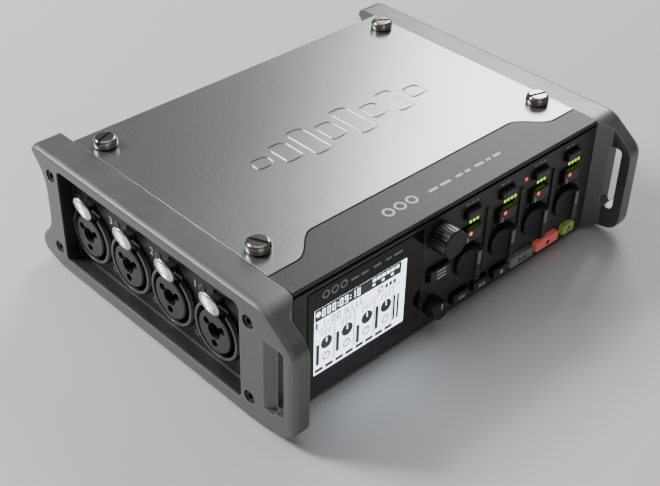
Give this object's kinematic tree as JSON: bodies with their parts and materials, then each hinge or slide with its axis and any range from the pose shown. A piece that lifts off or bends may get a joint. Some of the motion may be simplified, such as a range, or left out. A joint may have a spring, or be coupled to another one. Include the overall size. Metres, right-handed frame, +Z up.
{
  "type": "portable field recorder",
  "caption": "Portable field recorder: flat metal box between cast side frames, combination microphone sockets on the left, display, keys and level knobs at the front.",
  "frame": {"origin": "centre of the footprint, on the surface the recorder stands on", "axes": "+X towards the recorder's right-hand side (outputs), +Y towards its back (battery sled), +Z up; the control panel faces -Y"},
  "size_m": [0.1782, 0.141, 0.0543],
  "materials": {
    "cast_frame": "fine satin powder paint",
    "foot_rubber": "matt",
    "cover_sheet": "fine metallic satin paint",
    "dark_sheet": "satin",
    "bright_metal": "bright",
    "panel_plastic": "fine texture",
    "window_glass": "gloss",
    "screen": "lit",
    "black_key": "satin",
    "grey_key": "satin",
    "red_key": "satin",
    "green_key": "satin",
    "knob_plastic": "satin",
    "jack_plastic": "satin",
    "door_rubber": "matt",
    "cell_wrap": "printed foil",
    "circuit_board": "satin"
  },
  "bodies": {
    "case": {"right_frame": "cast_frame", "left_frame": "cast_frame", "right_foot_strip": "foot_rubber", "left_foot_strip": "foot_rubber", "top_cover": "cover_sheet", "front_hood": "dark_sheet", "bottom_case": "dark_sheet", "top_screw_1": "bright_metal", "top_screw_2": "bright_metal", "top_screw_3": "bright_metal", "top_screw_4": "bright_metal", "tripod_insert": "bright_metal", "card_socket": "bright_metal", "timecode_socket_in": "bright_metal", "timecode_socket_out": "bright_metal", "dc_inlet": "bright_metal", "front_panel": "panel_plastic", "left_jack_panel": "panel_plastic", "right_jack_panel": "panel_plastic", "rear_panel": "panel_plastic", "display_window": "window_glass", "display_module": "screen", "input_jack_1": "jack_plastic", "input_jack_2": "jack_plastic", "input_jack_3": "jack_plastic", "input_jack_4": "jack_plastic", "output_jack_1": "jack_plastic", "output_jack_2": "jack_plastic", "headphone_jack": "jack_plastic", "main_board": "circuit_board", "control_board": "circuit_board"},
    "function_key_1_body": {"function_key_1": "black_key"},
    "function_key_2_body": {"function_key_2": "black_key"},
    "function_key_3_body": {"function_key_3": "black_key"},
    "function_key_4_body": {"function_key_4": "black_key"},
    "track_key_1_body": {"track_key_1": "black_key"},
    "track_key_2_body": {"track_key_2": "black_key"},
    "track_key_3_body": {"track_key_3": "black_key"},
    "track_key_4_body": {"track_key_4": "black_key"},
    "rewind_key_body": {"rewind_key": "black_key"},
    "forward_key_body": {"forward_key": "black_key"},
    "stop_key_body": {"stop_key": "black_key"},
    "play_key_body": {"play_key": "grey_key"},
    "record_key_body": {"record_key": "red_key"},
    "power_key_body": {"power_key": "green_key"},
    "menu_key_body": {"menu_key": "black_key"},
    "track_knob_1_body": {"track_knob_1": "knob_plastic"},
    "track_knob_2_body": {"track_knob_2": "knob_plastic"},
    "track_knob_3_body": {"track_knob_3": "knob_plastic"},
    "track_knob_4_body": {"track_knob_4": "knob_plastic"},
    "headphone_knob_body": {"headphone_knob": "knob_plastic"},
    "encoder_shaft_body": {"encoder_shaft": "bright_metal"},
    "encoder_knob_body": {"encoder_knob": "knob_plastic"},
    "release_tab_1_body": {"release_tab_1": "bright_metal"},
    "release_tab_2_body": {"release_tab_2": "bright_metal"},
    "release_tab_3_body": {"release_tab_3": "bright_metal"},
    "release_tab_4_body": {"release_tab_4": "bright_metal"},
    "sled_body": {"battery_sled": "panel_plastic", "battery_cells": "cell_wrap"},
    "card_door_body": {"card_door": "door_rubber"}
  },
  "joints": [
    {"name": "function_key_1_press", "type": "slide", "parent": "case", "child": "function_key_1_body", "axis": [0, 1, 0], "range_m": [0, 0.0008], "stiffness_N_per_m": 900, "springref_m": -0.0004},
    {"name": "function_key_2_press", "type": "slide", "parent": "case", "child": "function_key_2_body", "axis": [0, 1, 0], "range_m": [0, 0.0008], "stiffness_N_per_m": 900, "springref_m": -0.0004},
    {"name": "function_key_3_press", "type": "slide", "parent": "case", "child": "function_key_3_body", "axis": [0, 1, 0], "range_m": [0, 0.0008], "stiffness_N_per_m": 900, "springref_m": -0.0004},
    {"name": "function_key_4_press", "type": "slide", "parent": "case", "child": "function_key_4_body", "axis": [0, 1, 0], "range_m": [0, 0.0008], "stiffness_N_per_m": 900, "springref_m": -0.0004},
    {"name": "track_key_1_press", "type": "slide", "parent": "case", "child": "track_key_1_body", "axis": [0, 1, 0], "range_m": [0, 0.0008], "stiffness_N_per_m": 900, "springref_m": -0.0004},
    {"name": "track_key_2_press", "type": "slide", "parent": "case", "child": "track_key_2_body", "axis": [0, 1, 0], "range_m": [0, 0.0008], "stiffness_N_per_m": 900, "springref_m": -0.0004},
    {"name": "track_key_3_press", "type": "slide", "parent": "case", "child": "track_key_3_body", "axis": [0, 1, 0], "range_m": [0, 0.0008], "stiffness_N_per_m": 900, "springref_m": -0.0004},
    {"name": "track_key_4_press", "type": "slide", "parent": "case", "child": "track_key_4_body", "axis": [0, 1, 0], "range_m": [0, 0.0008], "stiffness_N_per_m": 900, "springref_m": -0.0004},
    {"name": "rewind_key_press", "type": "slide", "parent": "case", "child": "rewind_key_body", "axis": [0, 1, 0], "range_m": [0, 0.0008], "stiffness_N_per_m": 900, "springref_m": -0.0004},
    {"name": "forward_key_press", "type": "slide", "parent": "case", "child": "forward_key_body", "axis": [0, 1, 0], "range_m": [0, 0.0008], "stiffness_N_per_m": 900, "springref_m": -0.0004},
    {"name": "stop_key_press", "type": "slide", "parent": "case", "child": "stop_key_body", "axis": [0, 1, 0], "range_m": [0, 0.0008], "stiffness_N_per_m": 900, "springref_m": -0.0004},
    {"name": "play_key_press", "type": "slide", "parent": "case", "child": "play_key_body", "axis": [0, 1, 0], "range_m": [0, 0.0008], "stiffness_N_per_m": 900, "springref_m": -0.0004},
    {"name": "record_key_press", "type": "slide", "parent": "case", "child": "record_key_body", "axis": [0, 1, 0], "range_m": [0, 0.0008], "stiffness_N_per_m": 900, "springref_m": -0.0004},
    {"name": "power_key_press", "type": "slide", "parent": "case", "child": "power_key_body", "axis": [0, 1, 0], "range_m": [0, 0.0008], "stiffness_N_per_m": 900, "springref_m": -0.0004},
    {"name": "menu_key_press", "type": "slide", "parent": "case", "child": "menu_key_body", "axis": [0, 1, 0], "range_m": [0, 0.0008], "stiffness_N_per_m": 900, "springref_m": -0.0004},
    {"name": "track_knob_1_turn", "type": "hinge", "parent": "case", "child": "track_knob_1_body", "pos_m": [0.0062, -0.0577, 0.0219], "axis": [0, 1, 0], "range_deg": [-150, 150]},
    {"name": "track_knob_2_turn", "type": "hinge", "parent": "case", "child": "track_knob_2_body", "pos_m": [0.0248, -0.0577, 0.0219], "axis": [0, 1, 0], "range_deg": [-150, 150]},
    {"name": "track_knob_3_turn", "type": "hinge", "parent": "case", "child": "track_knob_3_body", "pos_m": [0.0434, -0.0577, 0.0219], "axis": [0, 1, 0], "range_deg": [-150, 150]},
    {"name": "track_knob_4_turn", "type": "hinge", "parent": "case", "child": "track_knob_4_body", "pos_m": [0.062, -0.0577, 0.0219], "axis": [0, 1, 0], "range_deg": [-150, 150]},
    {"name": "headphone_knob_turn", "type": "hinge", "parent": "case", "child": "headphone_knob_body", "pos_m": [-0.0118, -0.0577, 0.0108], "axis": [0, 1, 0], "range_deg": [-150, 150]},
    {"name": "encoder_press", "type": "slide", "parent": "case", "child": "encoder_shaft_body", "axis": [0, 1, 0], "range_m": [0, 0.0008], "stiffness_N_per_m": 1100, "springref_m": -0.0004},
    {"name": "encoder_turn", "type": "hinge", "parent": "encoder_shaft_body", "child": "encoder_knob_body", "pos_m": [-0.0107, -0.061, 0.0406], "axis": [0, 1, 0], "continuous": true},
    {"name": "release_tab_1_press", "type": "slide", "parent": "case", "child": "release_tab_1_body", "axis": [1, 0, 0], "range_m": [0, 0.0012], "stiffness_N_per_m": 1200, "springref_m": -0.0004},
    {"name": "release_tab_2_press", "type": "slide", "parent": "case", "child": "release_tab_2_body", "axis": [1, 0, 0], "range_m": [0, 0.0012], "stiffness_N_per_m": 1200, "springref_m": -0.0004},
    {"name": "release_tab_3_press", "type": "slide", "parent": "case", "child": "release_tab_3_body", "axis": [1, 0, 0], "range_m": [0, 0.0012], "stiffness_N_per_m": 1200, "springref_m": -0.0004},
    {"name": "release_tab_4_press", "type": "slide", "parent": "case", "child": "release_tab_4_body", "axis": [1, 0, 0], "range_m": [0, 0.0012], "stiffness_N_per_m": 1200, "springref_m": -0.0004},
    {"name": "battery_sled_slide", "type": "slide", "parent": "case", "child": "sled_body", "axis": [0, 1, 0], "range_m": [0, 0.06]},
    {"name": "card_door_hinge", "type": "hinge", "parent": "case", "child": "card_door_body", "pos_m": [0.084, 0.041, 0.0132], "axis": [0, 1, 0], "range_deg": [0, 100]}
  ]
}
